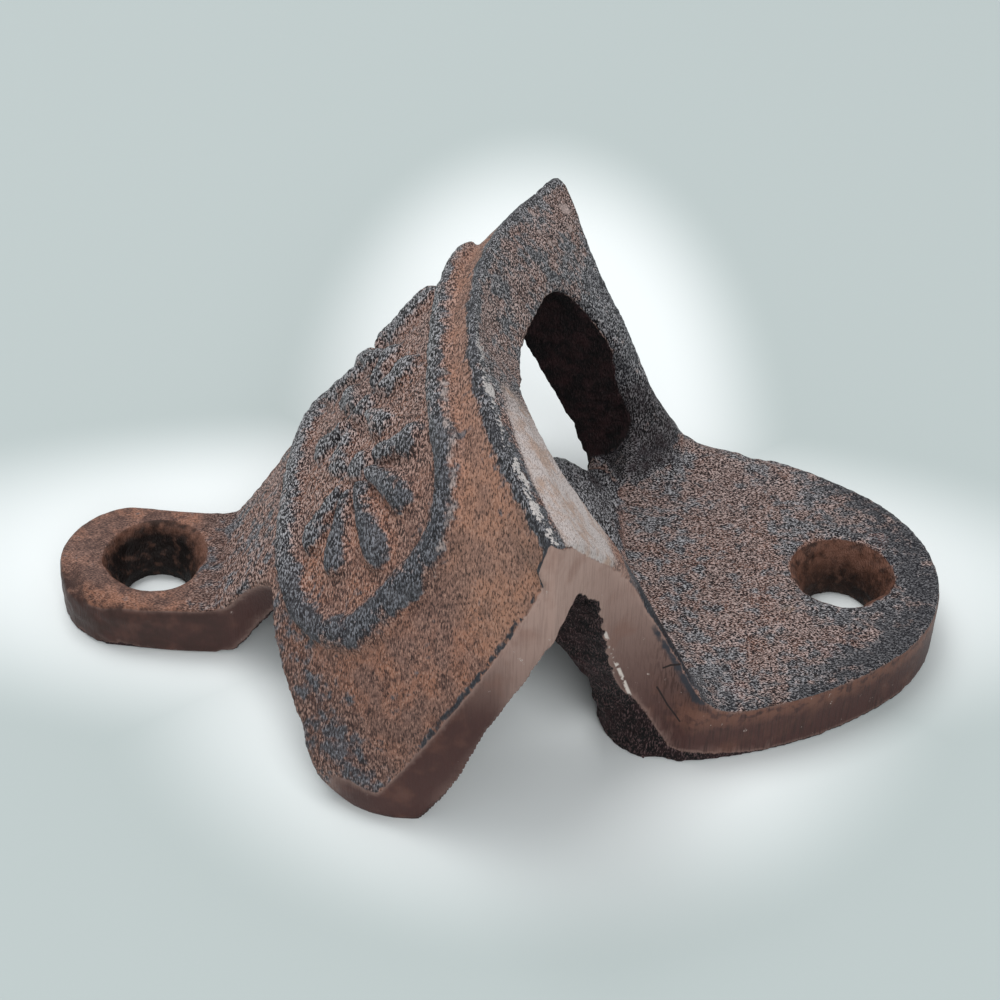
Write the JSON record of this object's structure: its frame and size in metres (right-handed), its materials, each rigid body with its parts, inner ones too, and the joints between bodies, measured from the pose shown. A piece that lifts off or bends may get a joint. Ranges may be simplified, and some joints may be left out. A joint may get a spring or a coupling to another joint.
{
  "type": "wall-mounted bottle opener",
  "caption": "Cast-iron wall-mounted bottle opener: a curved hood with a cast rosette and palmettes, a cap-lifting tongue, a bottle opening between its legs, and countersunk screw holes in an ear and a plate.",
  "frame": {"origin": "on the wall face, midway between the two screw holes, which is also the middle of the bottom of the box", "axes": "+X from the small screw ear to the large screw plate, +Z away from the wall, +Y across the hood"},
  "size_m": [0.0818, 0.055, 0.0337],
  "materials": {
    "weathered_iron": "rust-brown sand-cast skin with dark worn high points and smooth ground sides"
  },
  "bodies": {
    "root": {"opener_casting": "weathered_iron"}
  },
  "joints": []
}
